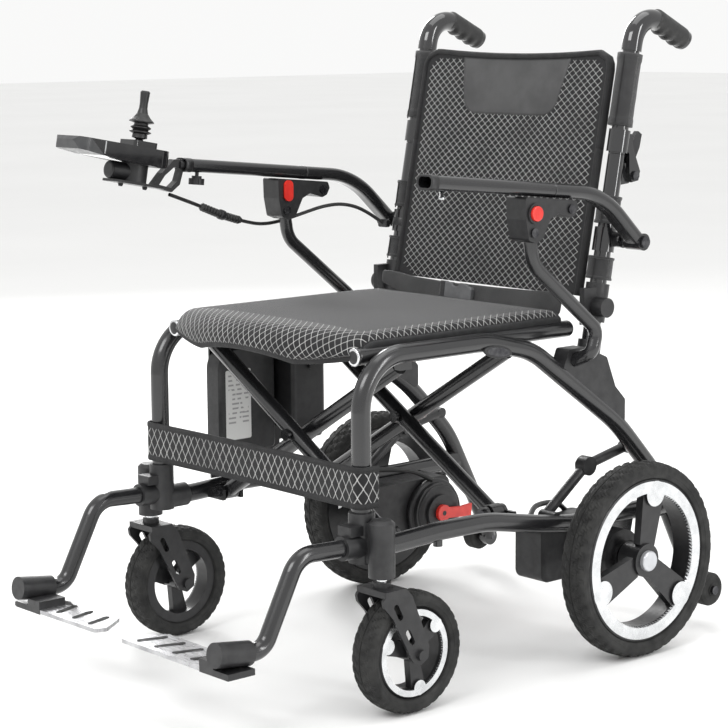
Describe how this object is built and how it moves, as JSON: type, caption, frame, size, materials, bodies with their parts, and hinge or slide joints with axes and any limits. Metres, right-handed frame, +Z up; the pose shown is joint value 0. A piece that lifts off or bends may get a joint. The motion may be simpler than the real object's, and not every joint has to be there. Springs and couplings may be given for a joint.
{
  "type": "power wheelchair",
  "caption": "Folding power wheelchair with scissor frame, mesh seat, flip-up armrests, joystick pod, hub motors, swivel casters and anti-tip wheels.",
  "frame": {"origin": "on the floor under the middle of the chair's overall box", "axes": "+X to the chair's left, +Y to its rear, +Z up"},
  "size_m": [0.662, 1.0093, 0.9885],
  "materials": {
    "frame_paint": "satin black powder coat",
    "casting_black": "painted casting, fine texture",
    "chrome": "polished",
    "tyre": "matt solid rubber with tread",
    "rim_black": "glass-filled plastic with a satin silver ring",
    "plastic_black": "fine spark texture",
    "plastic_gloss": "smooth black plastic",
    "button_red": "smooth red plastic",
    "footplate_metal": "brushed",
    "mesh_fabric": "black cloth with a silver-grey diamond mesh",
    "webbing": "woven black webbing",
    "cable_sheath": "smooth black sheath"
  },
  "bodies": {
    "right_frame": {"right_side_tube": "frame_paint", "right_lower_rail": "frame_paint", "right_caster_housing": "casting_black", "right_back_bracket": "casting_black", "right_back_post": "frame_paint", "right_arm_strut": "frame_paint", "right_arm_latch": "plastic_black", "right_footrest_hanger": "frame_paint", "right_motor": "casting_black", "right_bolts": "chrome", "controller_box": "plastic_black", "seat_belt": "webbing", "calf_strap": "mesh_fabric", "back_pad_lower": "mesh_fabric", "joystick_cable": "cable_sheath", "cable_connector": "cable_sheath"},
    "left_frame": {"left_side_tube": "frame_paint", "left_lower_rail": "frame_paint", "left_caster_housing": "casting_black", "left_back_bracket": "casting_black", "left_back_post": "frame_paint", "left_arm_strut": "frame_paint", "left_arm_latch": "plastic_black", "left_footrest_hanger": "frame_paint", "left_motor": "casting_black", "left_bolts": "chrome"},
    "cross_a": {"cross_brace_a": "frame_paint", "seat_cushion": "mesh_fabric"},
    "cross_b": {"cross_brace_b": "frame_paint"},
    "battery": {"battery_case": "plastic_black"},
    "pod": {"pod_case": "plastic_gloss", "pod_mount": "frame_paint"},
    "gimbal": {"joystick_gimbal": "plastic_black"},
    "stick": {"joystick": "cable_sheath"},
    "knob": {"clamp_knob": "plastic_black"},
    "left_arm": {"left_arm_tube": "frame_paint"},
    "left_button": {"left_release_button": "button_red"},
    "left_foot": {"left_footplate": "footplate_metal"},
    "left_anti_tip": {"left_anti_tip_wheel": "tyre"},
    "left_fork": {"left_caster_fork": "frame_paint"},
    "left_caster": {"left_caster_tyre": "tyre", "left_caster_rim": "rim_black"},
    "left_wheel": {"left_rear_tyre": "tyre", "left_rear_rim": "rim_black"},
    "left_clutch": {"left_clutch_lever": "button_red"},
    "left_upper_back": {"left_push_handle": "frame_paint"},
    "left_lever": {"left_back_lever": "plastic_black"},
    "right_arm": {"right_arm_tube": "frame_paint"},
    "right_button": {"right_release_button": "button_red"},
    "right_foot": {"right_footplate": "footplate_metal"},
    "right_anti_tip": {"right_anti_tip_wheel": "tyre"},
    "right_fork": {"right_caster_fork": "frame_paint"},
    "right_caster": {"right_caster_tyre": "tyre", "right_caster_rim": "rim_black"},
    "right_wheel": {"right_rear_tyre": "tyre", "right_rear_rim": "rim_black"},
    "right_clutch": {"right_clutch_lever": "button_red"},
    "right_upper_back": {"right_push_handle": "frame_paint", "back_pad_upper": "mesh_fabric"},
    "right_lever": {"right_back_lever": "plastic_black"}
  },
  "joints": [
    {"name": "fold", "type": "hinge", "parent": "right_frame", "child": "cross_b", "pos_m": [-0.203, 0.2685, 0.24], "axis": [0, -1, 0], "range_deg": [0, 40], "deforming": ["seat_cushion", "back_pad_lower", "back_pad_upper", "calf_strap", "seat_belt"]},
    {"name": "brace_crossing", "type": "hinge", "parent": "cross_b", "child": "cross_a", "pos_m": [0, 0.2685, 0.362], "axis": [0, -1, 0], "range_deg": [-80, 0]},
    {"name": "left_frame_pivot", "type": "hinge", "parent": "cross_a", "child": "left_frame", "pos_m": [0.203, 0.2685, 0.24], "axis": [0, -1, 0], "range_deg": [0, 40]},
    {"name": "left_footplate_flip", "type": "hinge", "parent": "left_frame", "child": "left_foot", "pos_m": [0.243, -0.4995, 0.136], "axis": [0, 0.9911, -0.1334], "range_deg": [0, 90]},
    {"name": "left_caster_swivel", "type": "hinge", "parent": "left_frame", "child": "left_fork", "pos_m": [0.2765, -0.2334, 0.23], "axis": [0, 0, 1], "continuous": true},
    {"name": "left_caster_spin", "type": "hinge", "parent": "left_fork", "child": "left_caster", "pos_m": [0.2765, -0.1874, 0.0888], "axis": [1, 0, 0], "continuous": true},
    {"name": "left_wheel_spin", "type": "hinge", "parent": "left_frame", "child": "left_wheel", "pos_m": [0.3043, 0.2685, 0.152], "axis": [1, 0, 0], "continuous": true},
    {"name": "left_anti_tip_spin", "type": "hinge", "parent": "left_frame", "child": "left_anti_tip", "pos_m": [0.267, 0.4765, 0.061], "axis": [1, 0, 0], "continuous": true},
    {"name": "left_clutch_turn", "type": "hinge", "parent": "left_frame", "child": "left_clutch", "pos_m": [0.134, 0.2685, 0.152], "axis": [1, 0, 0], "range_deg": [0, 60]},
    {"name": "left_armrest_flip", "type": "hinge", "parent": "left_frame", "child": "left_arm", "pos_m": [0.283, 0.2805, 0.64], "axis": [-1, 0, 0], "range_deg": [0, 95]},
    {"name": "left_release_press", "type": "slide", "parent": "left_frame", "child": "left_button", "axis": [-1, 0, 0], "range_m": [0, 0.004], "stiffness_N_per_m": 800},
    {"name": "left_back_fold", "type": "hinge", "parent": "left_frame", "child": "left_upper_back", "pos_m": [0.23, 0.3205, 0.736], "axis": [-1, 0, 0], "range_deg": [0, 140]},
    {"name": "left_lever_pull", "type": "hinge", "parent": "left_upper_back", "child": "left_lever", "pos_m": [0.23, 0.3115, 0.79], "axis": [1, 0, 0], "range_deg": [0, 15], "stiffness_Nm_per_rad": 1},
    {"name": "right_footplate_flip", "type": "hinge", "parent": "right_frame", "child": "right_foot", "pos_m": [-0.243, -0.4995, 0.136], "axis": [0, -0.9911, 0.1334], "range_deg": [0, 90]},
    {"name": "right_caster_swivel", "type": "hinge", "parent": "right_frame", "child": "right_fork", "pos_m": [-0.2765, -0.2334, 0.23], "axis": [0, 0, 1], "continuous": true},
    {"name": "right_caster_spin", "type": "hinge", "parent": "right_fork", "child": "right_caster", "pos_m": [-0.2765, -0.1874, 0.0888], "axis": [1, 0, 0], "continuous": true},
    {"name": "right_wheel_spin", "type": "hinge", "parent": "right_frame", "child": "right_wheel", "pos_m": [-0.3043, 0.2685, 0.152], "axis": [1, 0, 0], "continuous": true},
    {"name": "right_anti_tip_spin", "type": "hinge", "parent": "right_frame", "child": "right_anti_tip", "pos_m": [-0.267, 0.4765, 0.061], "axis": [1, 0, 0], "continuous": true},
    {"name": "right_clutch_turn", "type": "hinge", "parent": "right_frame", "child": "right_clutch", "pos_m": [-0.134, 0.2685, 0.152], "axis": [1, 0, 0], "range_deg": [0, 60]},
    {"name": "right_armrest_flip", "type": "hinge", "parent": "right_frame", "child": "right_arm", "pos_m": [-0.283, 0.2805, 0.64], "axis": [-1, 0, 0], "range_deg": [0, 95], "deforming": ["joystick_cable"]},
    {"name": "right_release_press", "type": "slide", "parent": "right_frame", "child": "right_button", "axis": [1, 0, 0], "range_m": [0, 0.004], "stiffness_N_per_m": 800},
    {"name": "right_back_fold", "type": "hinge", "parent": "right_frame", "child": "right_upper_back", "pos_m": [-0.23, 0.3205, 0.736], "axis": [-1, 0, 0], "range_deg": [0, 140]},
    {"name": "right_lever_pull", "type": "hinge", "parent": "right_upper_back", "child": "right_lever", "pos_m": [-0.23, 0.3115, 0.79], "axis": [1, 0, 0], "range_deg": [0, 15], "stiffness_Nm_per_rad": 1},
    {"name": "battery_slide", "type": "slide", "parent": "right_frame", "child": "battery", "axis": [0, -1, 0], "range_m": [0, 0.06]},
    {"name": "pod_slide", "type": "slide", "parent": "right_arm", "child": "pod", "axis": [0, -0.9952, 0.0978], "range_m": [0, 0.06], "deforming": ["joystick_cable"]},
    {"name": "knob_turn", "type": "hinge", "parent": "right_arm", "child": "knob", "pos_m": [-0.283, -0.1235, 0.74945], "axis": [0, -0.0978, -0.9952], "range_deg": [0, 180]},
    {"name": "joystick_pitch", "type": "hinge", "parent": "pod", "child": "gimbal", "pos_m": [-0.283, -0.23547, 0.78968], "axis": [1, 0, 0], "range_deg": [-18, 18], "stiffness_Nm_per_rad": 0.4},
    {"name": "joystick_roll", "type": "hinge", "parent": "gimbal", "child": "stick", "pos_m": [-0.283, -0.23547, 0.78968], "axis": [0, -0.9826, 0.1857], "range_deg": [-18, 18], "stiffness_Nm_per_rad": 0.4}
  ],
  "couplings": [
    {"joint": "brace_crossing", "follows": "fold", "ratio": -2},
    {"joint": "left_frame_pivot", "follows": "fold", "ratio": 1},
    {"joint": "left_footplate_flip", "follows": "fold", "ratio": 2.25},
    {"joint": "right_footplate_flip", "follows": "fold", "ratio": 2.25},
    {"joint": "left_back_fold", "follows": "right_back_fold", "ratio": 1}
  ]
}
